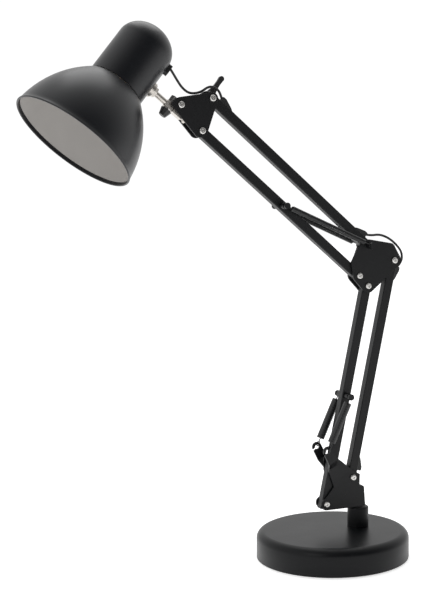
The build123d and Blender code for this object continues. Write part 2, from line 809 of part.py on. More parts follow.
# ---------------------------------------------------------------- lampholder
with BuildPart() as holder_shell:
    with BuildSketch(HEAD.offset(HOLDER_MOUTH)):
        Circle(HOLDER_R)
    extrude(amount=HOLDER_L)
    chamfer(holder_shell.edges().filter_by(GeomType.CIRCLE).sort_by(HEAD_AXIS)[-1], 3)
    with BuildSketch(HEAD.offset(HOLDER_MOUTH)):
        Circle(HOLDER_BORE)
    extrude(amount=HOLDER_L - HOLDER_ROOF, mode=Mode.SUBTRACT)
save(holder_shell, "holder_shell")

with BuildPart() as holder_thread_sleeve:
    with BuildSketch(HEAD.offset(HOLDER_MOUTH + 3)):
        Circle(HOLDER_BORE)
        Circle(THREAD_R, mode=Mode.SUBTRACT)
    extrude(amount=THREAD_L)
save(holder_thread_sleeve, "holder_thread_sleeve")

CORE_H = HOLDER_MOUTH + THREAD_L + 7
with BuildPart() as holder_core:
    with BuildSketch(HEAD.offset(CORE_H)):
        Circle(HOLDER_BORE)
    extrude(amount=HOLDER_MOUTH + HOLDER_L - HOLDER_ROOF - CORE_H)
save(holder_core, "holder_core")

with BuildPart() as holder_contact:
    with BuildSketch(HEAD.offset(CORE_H)):
        Circle(4.5)
    extrude(amount=-2)
    fillet(holder_contact.edges().sort_by(HEAD_AXIS)[0], 1.2)
save(holder_contact, "holder_contact")

with BuildPart() as holder_neck:
    with BuildSketch(HEAD.offset(HOLDER_MOUTH + HOLDER_L)):
        Circle(NIPPLE_R + 3)
        Circle(NIPPLE_R, mode=Mode.SUBTRACT)
    extrude(amount=CAP_TOP - CAP_WALL - 0.9 - HOLDER_MOUTH - HOLDER_L)
save(holder_neck, "holder_neck")


# ---------------------------------------------------------------- lead
def beside(start, angle, place, out=0.0):
    """Point at a distance along a tube and out from its middle line."""
    return move(move(start, heading(angle), place), across(angle), out)


def in_clamp(reach, rise):
    """Point in the XZ plane from stem coordinates."""
    spot = CLAMP.from_local_coords(Vector(reach, rise))
    return (spot.X, spot.Z)


def between(first, second, share):
    """Point a share of the way from one point to another."""
    return (first[0] + (second[0] - first[0]) * share, first[1] + (second[1] - first[1]) * share)


def bend_radii(points):
    """Radius at each inner point: 0.45 of its shorter run over the tangent of half the turn."""
    radii = []
    for before, here, after in zip(points, points[1:], points[2:]):
        into = Vector(here[0] - before[0], here[1] - before[1])
        out = Vector(after[0] - here[0], after[1] - here[1])
        half_turn = radians(into.get_angle(out)) / 2
        radii.append(0.45 * min(into.length, out.length) / tan(half_turn))
    return radii


def lead_path(points):
    """Centre line of a lead in the XZ plane: straight runs joined by tangent arcs."""
    spots = [at(point) for point in points]
    if len(points) == 2:
        return Polyline(*spots, mode=Mode.PRIVATE)
    return FilletPolyline(*spots, radius=bend_radii(points), mode=Mode.PRIVATE)


def lead_solid(points, radius=LEAD_R):
    """Round lead swept along its centre line."""
    path = lead_path(points)
    section = Plane(origin=path @ 0, z_dir=path % 0) * Circle(radius)
    return sweep(section, path=path)


def lead(points, name):
    """One stretch of the lead, with its bend radii and its volume against section times length."""
    solid = lead_solid(points)
    length = lead_path(points).length
    radii = ", ".join(f"{r:.1f}" for r in bend_radii(points))
    filled = solid.volume / (pi * LEAD_R**2 * length)
    print(f"{name}: length {length:.1f}, radii {radii}, volume {filled:.3f} of section times length")
    with BuildPart() as stretch:
        add(solid)
    save(stretch, name)
    return length


def passage(start, angle, mouth, inward):
    """End of a guide's passage inside the tube, its mouth, and two points straight out from the mouth."""
    inner = beside(start, angle, mouth + inward * PASSAGE_L)
    outer = beside(start, angle, mouth, MOUTH_OUT)
    step, _ = toward(inner, outer)
    return inner, outer, move(outer, step, 2), move(outer, step, 8)


FOOT_IN, FOOT_OUT, _, _ = passage(PIVOT_P, LOWER_ANGLE, FOOT_MOUTH, 1)
TOP_IN, _, TOP_SPLIT, TOP_BEND = passage(PIVOT_P, LOWER_ANGLE, TOP_MOUTH, -1)
ELBOW_IN, _, ELBOW_SPLIT, ELBOW_BEND = passage(PIVOT_D, UPPER_ANGLE, ELBOW_MOUTH, 1)
HEAD_IN, _, HEAD_SPLIT, HEAD_BEND = passage(PIVOT_D, UPPER_ANGLE, HEAD_MOUTH, -1)

LOOP = (ELBOW_BEND, (67, 420), (80.5, 415.3), (92.5, 406), (99.6, 397.1), (100.5, 389.2), TOP_BEND)
LOOP_MIDDLE = between(LOOP[2], LOOP[3], 0.5)
GROMMET_PASS = (in_clamp(-61, 31), in_clamp(-41, 28.4))
DROOP = ((-200, 598), (-191.8, 589.2), (-181.5, 588), (-172.5, 590.9), (-163.9, 597.0), (-156.2, 596.7),
         HEAD_BEND)
DROOP_1 = between(DROOP[0], DROOP[1], 0.3)
DROOP_2 = between(DROOP[2], DROOP[3], 0.6)

UPPER_RUN = (HEAD_SPLIT, HEAD_IN, ELBOW_IN, ELBOW_SPLIT)
LOWER_RUN = (TOP_SPLIT, TOP_IN, FOOT_IN)

lead_length = lead((*GROMMET_PASS, DROOP[0], DROOP_1), "lead_head_swivel")
lead_length += lead((DROOP_1, DROOP[1], DROOP[2], DROOP_2), "lead_head_tilt")
lead_length += lead((DROOP_2, *DROOP[3:], HEAD_SPLIT), "lead_head_fold")
lead_length += lead(UPPER_RUN, "lead_upper_run")
lead_length += lead((ELBOW_SPLIT, *LOOP[:3], LOOP_MIDDLE), "lead_elbow_upper")
lead_length += lead((LOOP_MIDDLE, *LOOP[3:], TOP_SPLIT), "lead_elbow_lower")
lead_length += lead(LOWER_RUN, "lead_lower_run")
print(f"lead in all {lead_length:.0f}")


def lead_guides(start, angle, mouths, routes, name):
    """Moulded guides on a tube's face: each mouth is a place and the direction into the tube."""
    face = TUBE / 2
    bores = [lead_solid(route, LEAD_R + LEAD_FIT) for route in routes]
    with BuildPart() as guides:
        for mouth, inward in mouths:
            outline = [(0, face), (0, face + GUIDE_H - 0.6), (1.5, face + GUIDE_H),
                       (5, face + GUIDE_H), (GUIDE_L - 4, face + 2.4), (GUIDE_L, face)]
            with BuildSketch(side(GUIDE_W / 2)):
                with BuildLine():
                    Polyline(*[beside(start, angle, mouth + inward * x, y) for x, y in outline], close=True)
                make_face()
            extrude(amount=GUIDE_W)
        add(bores, mode=Mode.SUBTRACT)
    save(guides, name)


lead_guides(PIVOT_P, LOWER_ANGLE, ((FOOT_MOUTH, 1), (TOP_MOUTH, -1)),
            ((FOOT_OUT, FOOT_IN), LOWER_RUN), "lower_lead_guides")
lead_guides(PIVOT_D, UPPER_ANGLE, ((ELBOW_MOUTH, 1), (HEAD_MOUTH, -1)), (UPPER_RUN,), "upper_lead_guides")

grommet_bore = lead_solid((*GROMMET_PASS, DROOP[0]), LEAD_R + LEAD_FIT)
with BuildPart() as head_grommet:
    with BuildSketch(GROMMET.offset(-3)):
        SlotOverall(GROMMET_L, GROMMET_W, rotation=90)
    extrude(amount=3 + GROMMET_T)
    add(grommet_bore, mode=Mode.SUBTRACT)
save(head_grommet, "head_grommet")
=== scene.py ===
"""Looks for a black swing arm desk lamp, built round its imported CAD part.

Metres, in the part's own frame: +Z up, the origin in the middle of the base's underside, the arms in the
XZ plane and the shade towards -X. "Near" is the -Y side.
"""

import json
import logging
import math
from dataclasses import dataclass
from enum import Enum

import bmesh
import bpy
import numpy as np
from mathutils import Matrix, Vector


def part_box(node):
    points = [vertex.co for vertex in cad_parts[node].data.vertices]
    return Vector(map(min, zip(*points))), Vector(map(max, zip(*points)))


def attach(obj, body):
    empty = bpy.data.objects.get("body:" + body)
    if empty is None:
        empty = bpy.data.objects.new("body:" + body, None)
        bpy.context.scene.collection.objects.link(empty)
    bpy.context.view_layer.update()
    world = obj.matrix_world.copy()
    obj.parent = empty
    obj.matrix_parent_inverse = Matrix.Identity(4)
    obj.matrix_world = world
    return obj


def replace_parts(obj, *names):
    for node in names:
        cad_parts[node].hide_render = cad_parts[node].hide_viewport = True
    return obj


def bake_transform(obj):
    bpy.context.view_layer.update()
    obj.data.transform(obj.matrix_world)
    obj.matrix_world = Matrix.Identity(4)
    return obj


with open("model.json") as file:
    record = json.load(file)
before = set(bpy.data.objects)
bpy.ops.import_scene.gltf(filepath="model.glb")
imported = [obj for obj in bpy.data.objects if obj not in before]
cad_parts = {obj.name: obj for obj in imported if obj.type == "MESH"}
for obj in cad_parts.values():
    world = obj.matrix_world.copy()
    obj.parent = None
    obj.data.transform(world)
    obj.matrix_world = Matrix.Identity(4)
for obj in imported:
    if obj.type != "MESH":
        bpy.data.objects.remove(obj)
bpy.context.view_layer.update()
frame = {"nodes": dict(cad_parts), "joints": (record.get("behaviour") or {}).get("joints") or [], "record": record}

log = logging.getLogger("lamp")
MM = 0.001


# ---------------------------------------------------------------- shader graphs
class Value:
    """A shader socket that can be written in sums: operators add Math nodes."""

    def __init__(self, recipe: "Recipe", socket: bpy.types.NodeSocket) -> None:
        """Wrap a socket of a recipe's node tree."""
        self.recipe = recipe
        self.socket = socket

    def _with(self, operation: str, first: object, second: object) -> "Value":
        """Math node of two terms, each a Value or a number."""
        return self.recipe.maths(operation, first, second)

    def __add__(self, other: object) -> "Value":
        """self + other."""
        return self._with("ADD", self, other)

    def __radd__(self, other: object) -> "Value":
        """other + self."""
        return self._with("ADD", other, self)

    def __sub__(self, other: object) -> "Value":
        """self - other."""
        return self._with("SUBTRACT", self, other)

    def __rsub__(self, other: object) -> "Value":
        """other - self."""
        return self._with("SUBTRACT", other, self)

    def __mul__(self, other: object) -> "Value":
        """self * other."""
        return self._with("MULTIPLY", self, other)

    def __rmul__(self, other: object) -> "Value":
        """other * self."""
        return self._with("MULTIPLY", other, self)


class Recipe:
    """A new material: nodes are added by type, and the Principled shader is its base."""

    def __init__(self, name: str) -> None:
        """Start a material with only an output and a Principled shader.

        Args:
            name: The material's name.
        """
        self.material = bpy.data.materials.new(name)
        self.material.use_nodes = True
        self.tree = self.material.node_tree
        self.tree.nodes.clear()
        self.shader = self.node("ShaderNodeBsdfPrincipled")
        output = self.node("ShaderNodeOutputMaterial")
        self.tree.links.new(self.shader.outputs["BSDF"], output.inputs["Surface"])

    def node(self, kind: str, settings: dict | None = None, **sockets: object) -> bpy.types.Node:
        """Add a node, set its settings first and then its sockets.

        Args:
            kind: The node's type.
            settings: Its own properties; "stops" sets a ramp's (place, grey) pairs.
            sockets: Values or links by socket name, with _ for a space.

        Returns:
            The node.
        """
        made = self.tree.nodes.new(kind)
        for key, value in (settings or {}).items():
            if key == "stops":
                for element, (place, grey) in zip(made.color_ramp.elements, value):
                    element.position = place
                    element.color = (grey, grey, grey, 1.0)
            else:
                setattr(made, key, value)
        for key, value in sockets.items():
            self.feed(made.inputs[key.replace("_", " ")], value)
        return made

    def feed(self, socket: bpy.types.NodeSocket, value: object) -> None:
        """Give a socket a link or a constant."""
        if isinstance(value, Value):
            self.tree.links.new(value.socket, socket)
        else:
            socket.default_value = value

    def maths(self, operation: str, first: object, second: object) -> Value:
        """Math node of two terms.

        Args:
            operation: Blender's name of the operation.
            first: A Value or a number.
            second: A Value or a number.

        Returns:
            The result.
        """
        made = self.node("ShaderNodeMath", {"operation": operation})
        self.feed(made.inputs[0], first)
        self.feed(made.inputs[1], second)
        return Value(self, made.outputs[0])

    def place(self, stretch: tuple = (1.0, 1.0, 1.0)) -> Value:
        """Object coordinates, stretched along the axes."""
        where = self.node("ShaderNodeTexCoord")
        seen = Value(self, where.outputs["Object"])
        mapped = self.node("ShaderNodeMapping", None, Vector=seen, Scale=stretch)
        return Value(self, mapped.outputs["Vector"])

    def noise(self, size: float, detail: float = 3.0, stretch: tuple = (1.0, 1.0, 1.0)) -> Value:
        """Noise between 0 and 1 whose lumps are about a size in metres."""
        place = self.place(stretch)
        made = self.node("ShaderNodeTexNoise", None, Vector=place, Scale=1.0 / size, Detail=detail)
        return Value(self, made.outputs["Fac"])

    def ramp(self, value: Value, low: float, high: float) -> Value:
        """Value spread from 0 at low to 1 at high, held flat outside."""
        made = self.node("ShaderNodeValToRGB", {"stops": ((low, 0.0), (high, 1.0))}, Fac=value)
        return Value(self, made.outputs["Color"])

    def between(self, share: Value, first: tuple, second: tuple) -> Value:
        """Colour mixed from first to second by a share."""
        made = self.node("ShaderNodeMix", {"data_type": "RGBA"})
        self.feed(made.inputs[0], share)
        self.feed(made.inputs[6], (*first, 1.0))
        self.feed(made.inputs[7], (*second, 1.0))
        return Value(self, made.outputs[2])

    def bump(self, height: Value, depth: float) -> None:
        """Send a height field, whose full depth is in metres, to the shader's normal."""
        made = self.node("ShaderNodeBump", None, Height=height, Distance=depth, Strength=1.0)
        self.feed(self.shader.inputs["Normal"], Value(self, made.outputs["Normal"]))

    def base(self, **sockets: object) -> None:
        """Set sockets of the Principled shader by name, with _ for a space."""
        for key, value in sockets.items():
            self.feed(self.shader.inputs[key.replace("_", " ")], value)


# ---------------------------------------------------------------- finishes
def shade(colour: tuple, factor: float) -> tuple:
    """Colour made lighter or darker by a factor."""
    return tuple(min(1.0, channel * factor) for channel in colour)


@dataclass(frozen=True)
class Coat:
    """Baked powder or stove coat: orange peel, faint cloudiness, dust in the finest grain."""

    name: str
    colour: tuple
    roughness: float
    peel: float = 0.9 * MM
    peel_depth: float = 0.012 * MM
    cloud: float = 0.10
    shine: float = 0.5

    def make(self) -> bpy.types.Material:
        """Material of this coat."""
        recipe = Recipe(self.name)
        cloud = recipe.noise(38 * MM, 4.0)
        dust = recipe.ramp(recipe.noise(1.6 * MM, 6.0), 0.56, 0.78)
        peel = recipe.noise(self.peel, 2.0)
        tone = recipe.between(cloud, shade(self.colour, 1 - self.cloud), shade(self.colour, 1 + self.cloud))
        dusty = recipe.node("ShaderNodeMix", {"data_type": "RGBA"})
        recipe.feed(dusty.inputs[0], dust * 0.012)
        recipe.feed(dusty.inputs[6], tone)
        recipe.feed(dusty.inputs[7], (0.35, 0.34, 0.33, 1.0))
        recipe.base(
            Base_Color=Value(recipe, dusty.outputs[2]),
            Roughness=self.roughness - 0.04 + cloud * 0.06 + dust * 0.05,
            Specular_IOR_Level=self.shine,
        )
        recipe.bump(peel, self.peel_depth)
        return recipe.material


@dataclass(frozen=True)
class Metal:
    """Bare or plated metal with fine tooling lines and slight tarnish."""

    name: str
    colour: tuple
    roughness: float
    lines: tuple = (1.0, 1.0, 12.0)
    line_depth: float = 0.004 * MM

    def make(self) -> bpy.types.Material:
        """Material of this metal."""
        recipe = Recipe(self.name)
        tarnish = recipe.noise(7 * MM, 5.0)
        lines = recipe.noise(2.5 * MM, 3.0, self.lines)
        recipe.base(
            Base_Color=recipe.between(tarnish, shade(self.colour, 0.84), shade(self.colour, 1.08)),
            Metallic=1.0,
            Roughness=self.roughness - 0.05 + tarnish * 0.08 + lines * 0.06,
        )
        recipe.bump(lines, self.line_depth)
        return recipe.material


@dataclass(frozen=True)
class Moulding:
    """Moulded plastic, rubber or glaze with a fine grain."""

    name: str
    colour: tuple
    roughness: float
    grain: float = 0.5 * MM
    grain_depth: float = 0.008 * MM

    def make(self) -> bpy.types.Material:
        """Material of this moulding."""
        recipe = Recipe(self.name)
        cloud = recipe.noise(12 * MM, 3.0)
        grain = recipe.noise(self.grain, 2.0)
        recipe.base(
            Base_Color=recipe.between(cloud, shade(self.colour, 0.9), shade(self.colour, 1.12)),
            Roughness=self.roughness - 0.03 + cloud * 0.05 + grain * 0.03,
        )
        recipe.bump(grain, self.grain_depth)
        return recipe.material


class Finish(Enum):
    """Every finish on the lamp, by its material slot in the record."""

    BASE = Coat("base_paint", (0.0038, 0.0042, 0.0050), 0.38, shine=0.17)
    ARM = Coat("arm_paint", (0.0026, 0.0029, 0.0037), 0.45, peel_depth=0.004 * MM, shine=0.3)
    SHADE = Coat("shade_paint", (0.0040, 0.0046, 0.0064), 0.36, shine=0.42)
    INSIDE = Coat("shade_inside", (0.36, 0.345, 0.33), 0.62, cloud=0.04)
    WEIGHT = Coat("cast_weight", (0.06, 0.06, 0.062), 0.75, peel=2.2 * MM, peel_depth=0.12 * MM)
    ZINC = Metal("zinc_steel", (0.66, 0.65, 0.63), 0.26)
    NICKEL = Metal("nickel", (0.56, 0.53, 0.49), 0.30, lines=(10.0, 1.0, 10.0))
    PLASTIC = Moulding("black_plastic", (0.0055, 0.0058, 0.0065), 0.45)
    WIRE = Coat("spring_wire", (0.007, 0.0073, 0.008), 0.33, peel=0.4 * MM, peel_depth=0.004 * MM)
    VINYL = Moulding("sleeve_vinyl", (0.006, 0.0063, 0.007), 0.38, grain=1.2 * MM)
    SHEATH = Moulding("lead_sheath", (0.0055, 0.0058, 0.0065), 0.42)
    FOAM = Moulding("foam_pad", (0.03, 0.03, 0.03), 0.9, grain=0.8 * MM, grain_depth=0.06 * MM)
    BRASS = Metal("brass_thread", (0.72, 0.54, 0.25), 0.30)
    CERAMIC = Moulding("white_ceramic", (0.80, 0.78, 0.73), 0.22, grain=3 * MM, grain_depth=0.006 * MM)


class Dresser:
    """Makes each finish once and dresses pieces with it."""

    def __init__(self) -> None:
        """Start with no finish made."""
        self.made: dict[Finish, bpy.types.Material] = {}

    def dress(self, piece: bpy.types.Object, finish: Finish) -> bpy.types.Object:
        """Give a piece one finish.

        Args:
            piece: A mesh object.
            finish: The finish it takes.

        Returns:
            The piece.
        """
        if finish not in self.made:
            self.made[finish] = finish.value.make()
        piece.data.materials.clear()
        piece.data.materials.append(self.made[finish])
        return piece


# ---------------------------------------------------------------- surfaces
class Surface:
    """Grids of points gathered into one mesh."""

    def __init__(self) -> None:
        """Start empty."""
        self.points: list[np.ndarray] = []
        self.faces: list[np.ndarray] = []
        self.count = 0

    def grid(self, points: np.ndarray, close_u: bool = False, close_v: bool = False) -> "Surface":
        """Add a grid of points as quads, joined round on itself along u or v if asked.

        Args:
            points: Array of shape (u, v, 3), wound so that u cross v points outwards.
            close_u: Join the last row to the first.
            close_v: Join the last column to the first.

        Returns:
            Itself.
        """
        rows, columns = points.shape[:2]
        u = np.arange(rows if close_u else rows - 1)[:, None]
        v = np.arange(columns if close_v else columns - 1)[None, :]
        after_u, after_v = (u + 1) % rows, (v + 1) % columns
        corners = [u * columns + v, after_u * columns + v, after_u * columns + after_v, u * columns + after_v]
        quads = np.stack([np.broadcast_to(c, (u.size, v.size)) for c in corners], -1).reshape(-1, 4)
        self.faces.append(quads + self.count)
        self.points.append(points.reshape(-1, 3))
        self.count += rows * columns
        return self

    def mesh(self, name: str, crease: float = 40.0) -> bpy.types.Object:
        """Make the object, with doubles merged and normals facing out.

        Args:
            name: The object's name.
            crease: Edges sharper than this many degrees are shaded sharp.

        Returns:
            The object, at the origin.
        """
        data = bpy.data.meshes.new(name)
        data.from_pydata(np.concatenate(self.points).tolist(), [], np.concatenate(self.faces).tolist())
        made = bpy.data.objects.new(name, data)
        bpy.context.scene.collection.objects.link(made)
        clean(made, crease)
        return made


def clean(piece: bpy.types.Object, crease: float) -> None:
    """Merge a mesh's doubles, drop its empty faces, face it outwards and shade it smooth up to a crease."""
    work = bmesh.new()
    work.from_mesh(piece.data)
    bmesh.ops.remove_doubles(work, verts=work.verts, dist=0.002 * MM)
    bmesh.ops.dissolve_degenerate(work, edges=work.edges, dist=0.001 * MM)
    bmesh.ops.recalc_face_normals(work, faces=work.faces)
    work.to_mesh(piece.data)
    work.free()
    piece.data.shade_smooth()
    piece.data.set_sharp_from_angle(angle=math.radians(crease))


@dataclass(frozen=True)
class Spindle:
    """An axis to turn profiles round, with two directions square to it."""

    origin: Vector
    axis: Vector

    def turned(self, profile: np.ndarray, sides: int) -> np.ndarray:
        """Grid of a profile turned round the axis.

        A point (r, h) at angle t lands at origin + h axis + r (cos t across + sin t beside).

        Args:
            profile: Array of (radius, height) pairs.
            sides: Number of columns round the axis.

        Returns:
            Array of shape (points, sides, 3).
        """
        axis = np.array(self.axis.normalized())
        across = np.array(self.axis.orthogonal().normalized())
        beside = np.cross(axis, across)
        turn = np.linspace(0, 2 * math.pi, sides, endpoint=False)
        ring = np.cos(turn)[:, None] * across + np.sin(turn)[:, None] * beside
        radius, height = profile[:, 0], profile[:, 1]
        return np.array(self.origin) + height[:, None, None] * axis + radius[:, None, None] * ring[None]


def arc(centre: tuple, radius: tuple, start: float, end: float, steps: int) -> np.ndarray:
    """Points centre + (radius_x cos t, radius_y sin t), with t from start to end in degrees."""
    turn = np.radians(np.linspace(start, end, steps))
    return np.stack([centre[0] + radius[0] * np.cos(turn), centre[1] + radius[1] * np.sin(turn)], -1)


def tube(path: np.ndarray, radius: float, beside: np.ndarray, sides: int) -> np.ndarray:
    """Grid of a round wire along a path.

    Each ring is path + radius (cos t n + sin t b), with b the part of beside that is square to the path's
    run, and n the run crossed with b.

    Args:
        path: Array of points (n, 3).
        radius: The wire's radius.
        beside: One direction, or one for each point, never along the path.
        sides: Number of columns round the wire.

    Returns:
        Array of shape (n, sides, 3).
    """
    run = np.gradient(path, axis=0)
    run /= np.linalg.norm(run, axis=1, keepdims=True)
    square = beside - (beside * run).sum(-1, keepdims=True) * run
    square /= np.linalg.norm(square, axis=1, keepdims=True)
    normal = np.cross(run, square)
    turn = np.linspace(0, 2 * math.pi, sides, endpoint=False)
    ring = np.cos(turn)[None, :, None] * normal[:, None] + np.sin(turn)[None, :, None] * square[:, None]
    return path[:, None] + radius * ring


def capped(path_grid: np.ndarray, path: np.ndarray) -> np.ndarray:
    """A wire's grid with a last ring shrunk to the path's own point at each end, which closes it."""
    first = np.broadcast_to(path[0], path_grid[:1].shape)
    last = np.broadcast_to(path[-1], path_grid[:1].shape)
    return np.concatenate([first, path_grid, last])


def middle(node: str) -> Vector:
    """Middle of a CAD node's box."""
    low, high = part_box(node)
    return (low + high) / 2


def joint(name: str) -> dict:
    """A joint of the frame, by its name."""
    return next(j for j in frame["joints"] if j["name"] == name)


def pivot(name: str) -> Vector:
    """A joint's place."""
    return Vector(joint(name)["pos_m"])


# ---------------------------------------------------------------- base
@dataclass
class Base:
    """Round weighted base: its pressed cover and the swivel collar, both turned on vertical axes."""

    dresser: Dresser
    edge: float = 10 * MM
    wall: float = 2 * MM
    collar_edge: float = 2.5 * MM
    sides: int = 160

    def cover(self) -> bpy.types.Object:
        """Cover with a rounded shoulder and an open underside."""
        low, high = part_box("base_cover")
        outer, top = (high.x - low.x) / 2, high.z
        inner, under = outer - self.wall, top - self.wall
        corner = self.edge - self.wall
        profile = np.concatenate([
            [(inner, low.z), (outer - 0.4 * MM, low.z), (outer, low.z + 0.4 * MM)],
            arc((outer - self.edge, top - self.edge), (self.edge, self.edge), 0, 90, 22),
            [(outer - self.edge - 4 * MM, top), (0.0, top), (0.0, under)],
            arc((outer - self.edge, top - self.edge), (corner, corner), 90, 0, 12),
            [(inner, low.z)],
        ])
        spindle = Spindle(Vector((0, 0, 0)), Vector((0, 0, 1)))
        piece = Surface().grid(spindle.turned(profile, self.sides), close_v=True).mesh("base_cover_skin", 50)
        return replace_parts(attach(self.dresser.dress(piece, Finish.BASE), "base"), "base_cover")

    def collar(self) -> bpy.types.Object:
        """Collar with a rounded lip and the socket for the spigot."""
        low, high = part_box("collar")
        spigot_low, spigot_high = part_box("spigot")
        radius, bore = (high.x - low.x) / 2, (spigot_high.x - spigot_low.x) / 2 + 0.05 * MM
        floor = low.z + 5 * MM
        profile = np.concatenate([
            [(0.0, low.z), (radius, low.z), (radius, low.z + 1 * MM)],
            arc((radius - self.collar_edge, high.z - self.collar_edge), (self.collar_edge,) * 2, 0, 90, 8),
            [(bore + 0.5 * MM, high.z), (bore, high.z - 0.5 * MM), (bore, floor), (0.0, floor)],
        ])
        centre = Vector(((low.x + high.x) / 2, (low.y + high.y) / 2, 0))
        spindle = Spindle(centre, Vector((0, 0, 1)))
        piece = Surface().grid(spindle.turned(profile, 64), close_v=True).mesh("collar_skin", 50)
        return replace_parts(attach(self.dresser.dress(piece, Finish.BASE), "base"), "collar")

    def build(self) -> None:
        """Make both pieces."""
        for piece in (self.cover(), self.collar()):
            log.info("%s: %d faces", piece.name, len(piece.data.polygons))


# ---------------------------------------------------------------- head
@dataclass
class Head:
    """Bell shade, its light inside and the cap, turned on the head's own axis."""

    dresser: Dresser
    turn: float = math.radians(6.93)
    reach: float = 70.8 * MM
    stem_height: float = 111.5 * MM
    rim: float = 74.6 * MM
    waist: float = 34 * MM
    waist_height: float = 84.5 * MM
    bell_middle: tuple = (63.4 * MM, 44 * MM)
    dome_start: float = 144 * MM
    cap_top: float = 172 * MM
    skin: float = 0.9 * MM
    liner: float = 0.5 * MM
    cap_wall: float = 1.4 * MM
    bead: float = 1.1 * MM
    sides: int = 144

    def spindle(self) -> Spindle:
        """The head's axis, from the middle of the rim up to the cap: the stem's up turned round the stem."""
        stem = Vector(joint("head_swivel")["axis"]).normalized()
        up = Vector((-stem.z, 0, stem.x))
        axis = Matrix.Rotation(self.turn, 3, stem) @ up
        if axis.y < 0:
            axis = Matrix.Rotation(-self.turn, 3, stem) @ up
        return Spindle(pivot("head_swivel") - stem * self.reach - axis * self.stem_height, axis)

    def bell_arc(self, depth: float, steps: int = 40) -> np.ndarray:
        """Arc through rim, middle and waist, moved towards its centre by a depth.

        The centre is where the perpendicular bisectors of the three points' chords cross.
        """
        a, b, c = (np.array(p) for p in ((self.rim, 0.0), self.bell_middle, (self.waist, self.waist_height)))
        rows = np.array([b - a, c - b])
        sums = np.array([(b @ b - a @ a) / 2, (c @ c - b @ b) / 2])
        centre = np.linalg.solve(rows, sums)
        radius = np.linalg.norm(a - centre) - depth
        start, end = (math.degrees(math.atan2(*(p - centre)[::-1])) for p in (a, c))
        return arc(tuple(centre), (radius, radius), start, end, steps)

    def bell(self) -> bpy.types.Object:
        """Spun shell with a rolled bead round its rim and a turned-in neck under the cap."""
        outer, inner = self.bell_arc(0), self.bell_arc(self.skin)[::-1]
        bead = arc((self.rim - 0.2 * MM, self.bead), (self.bead, self.bead), 150, 400, 14)
        neck_low = self.waist_height - 0.6 * MM
        profile = np.concatenate([
            bead,
            outer[2:-1],
            [(self.waist - 0.1 * MM, neck_low), (self.waist - 1.3 * MM, neck_low)],
            inner[2:-2],
        ])
        grid = self.spindle().turned(profile, self.sides)
        piece = Surface().grid(grid, close_u=True, close_v=True).mesh("bell_skin", 38)
        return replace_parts(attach(self.dresser.dress(piece, Finish.SHADE), "head"), "bell_shade")

    def inside(self) -> bpy.types.Object:
        """Light grey coat inside the bell, from just behind the bead to the waist."""
        front = self.bell_arc(self.skin + self.liner)[2:]
        back = self.bell_arc(self.skin + 0.02 * MM)[2:][::-1]
        profile = np.concatenate([front, back])
        grid = self.spindle().turned(profile, self.sides)
        piece = Surface().grid(grid, close_u=True, close_v=True).mesh("bell_inside_coat", 60)
        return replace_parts(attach(self.dresser.dress(piece, Finish.INSIDE), "head"), "bell_liner")

    def cap(self) -> bpy.types.Object:
        """Domed cap: a cylinder, a quarter ellipse and the same again inside."""
        outer, inner = self.waist, self.waist - self.cap_wall
        dome, inner_dome = self.cap_top - self.dome_start, self.cap_top - self.cap_wall - self.dome_start
        profile = np.concatenate([
            [(outer - 0.4 * MM, self.waist_height), (outer, self.waist_height + 0.4 * MM)],
            np.stack([np.full(8, outer), np.linspace(self.waist_height + 6 * MM, self.dome_start, 8)], -1),
            arc((0, self.dome_start), (outer, dome), 4, 89.7, 30),
            arc((0, self.dome_start), (inner, inner_dome), 89.7, 0, 20),
            [(inner, self.waist_height)],
        ])
        grid = self.spindle().turned(profile, self.sides)
        piece = Surface().grid(grid, close_u=True, close_v=True).mesh("head_cap_skin", 38)
        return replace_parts(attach(self.dresser.dress(piece, Finish.SHADE), "head"), "head_cap")

    def build(self) -> None:
        """Make the three pieces."""
        for piece in (self.bell(), self.inside(), self.cap()):
            log.info("%s: %d faces", piece.name, len(piece.data.polygons))


